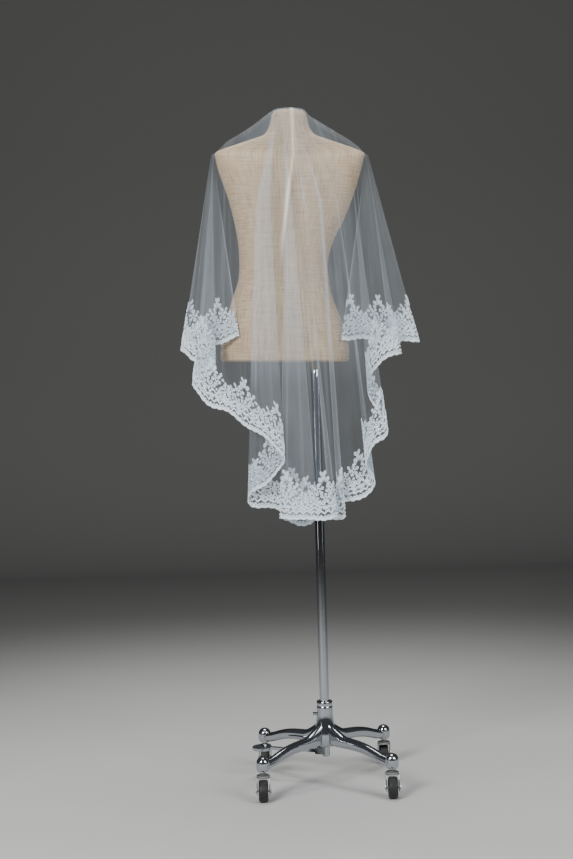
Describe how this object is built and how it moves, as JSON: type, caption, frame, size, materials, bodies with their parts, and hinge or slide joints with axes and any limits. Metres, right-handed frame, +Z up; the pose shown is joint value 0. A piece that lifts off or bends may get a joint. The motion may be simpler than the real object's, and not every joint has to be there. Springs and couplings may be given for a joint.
{
  "type": "bridal veil on a dress form",
  "caption": "Wide tulle bridal veil with a lace edging, laid over a limbless linen dress form on a rolling chrome stand with a foot pedal.",
  "frame": {"origin": "on the floor, at the middle of the whole width and depth", "axes": "+Z up; +Y away from the viewer of the picture, towards the form's front; +X to the viewer's right, towards the form's right side"},
  "size_m": [0.6254, 0.4234, 1.786],
  "materials": {
    "soft_tulle": "sheer, soft, slightly cool white",
    "corded_lace": "matt white thread with raised cords",
    "linen_cover": "plain woven linen",
    "polished_chrome": "polished",
    "zinc_steel": "zinc plated, dull",
    "black_rubber": "satin"
  },
  "bodies": {
    "base": {"hub": "polished_chrome", "clamp_screw": "polished_chrome", "pedal_clevis": "polished_chrome", "leg_front_left": "polished_chrome", "leg_front_right": "polished_chrome", "leg_rear_left": "polished_chrome", "leg_rear_right": "polished_chrome", "dome_front_left": "polished_chrome", "dome_front_right": "polished_chrome", "dome_rear_left": "polished_chrome", "dome_rear_right": "polished_chrome"},
    "mast": {"pole": "polished_chrome", "dress_form": "linen_cover", "tulle_left": "soft_tulle", "tulle_left_back": "soft_tulle", "tulle_centre": "soft_tulle", "tulle_right_back": "soft_tulle", "tulle_right": "soft_tulle", "lace_left": "corded_lace", "lace_left_back": "corded_lace", "lace_centre": "corded_lace", "lace_right_back": "corded_lace", "lace_right": "corded_lace"},
    "pedal": {"foot_pedal": "polished_chrome"},
    "swivel_front_left": {"stem_front_left": "zinc_steel", "fork_front_left": "zinc_steel"},
    "wheel_front_left": {"wheel_front_left": "black_rubber"},
    "swivel_front_right": {"stem_front_right": "zinc_steel", "fork_front_right": "zinc_steel"},
    "wheel_front_right": {"wheel_front_right": "black_rubber"},
    "swivel_rear_left": {"stem_rear_left": "zinc_steel", "fork_rear_left": "zinc_steel"},
    "wheel_rear_left": {"wheel_rear_left": "black_rubber"},
    "swivel_rear_right": {"stem_rear_right": "zinc_steel", "fork_rear_right": "zinc_steel"},
    "wheel_rear_right": {"wheel_rear_right": "black_rubber"}
  },
  "joints": [
    {"name": "mast_slide", "type": "slide", "parent": "base", "child": "mast", "axis": [0, 0, 1], "range_m": [0, 0.06]},
    {"name": "pedal_hinge", "type": "hinge", "parent": "base", "child": "pedal", "pos_m": [0.01904, 0.00664, 0.082], "axis": [-0.3322, -0.9432, 0], "range_deg": [0, 12], "stiffness_Nm_per_rad": 2, "springref_deg": -17.19},
    {"name": "swivel_front_left_turn", "type": "hinge", "parent": "base", "child": "swivel_front_left", "pos_m": [-0.1271, -0.165, 0.06], "axis": [0, 0, 1], "continuous": true},
    {"name": "wheel_front_left_turn", "type": "hinge", "parent": "swivel_front_left", "child": "wheel_front_left", "pos_m": [-0.1271, -0.183, 0.028], "axis": [1, 0, 0], "continuous": true},
    {"name": "swivel_front_right_turn", "type": "hinge", "parent": "base", "child": "swivel_front_right", "pos_m": [0.2029, -0.165, 0.06], "axis": [0, 0, 1], "continuous": true},
    {"name": "wheel_front_right_turn", "type": "hinge", "parent": "swivel_front_right", "child": "wheel_front_right", "pos_m": [0.2029, -0.183, 0.028], "axis": [1, 0, 0], "continuous": true},
    {"name": "swivel_rear_left_turn", "type": "hinge", "parent": "base", "child": "swivel_rear_left", "pos_m": [-0.1271, 0.165, 0.06], "axis": [0, 0, 1], "continuous": true},
    {"name": "wheel_rear_left_turn", "type": "hinge", "parent": "swivel_rear_left", "child": "wheel_rear_left", "pos_m": [-0.1271, 0.183, 0.028], "axis": [1, 0, 0], "continuous": true},
    {"name": "swivel_rear_right_turn", "type": "hinge", "parent": "base", "child": "swivel_rear_right", "pos_m": [0.2029, 0.165, 0.06], "axis": [0, 0, 1], "continuous": true},
    {"name": "wheel_rear_right_turn", "type": "hinge", "parent": "swivel_rear_right", "child": "wheel_rear_right", "pos_m": [0.2029, 0.183, 0.028], "axis": [1, 0, 0], "continuous": true}
  ]
}
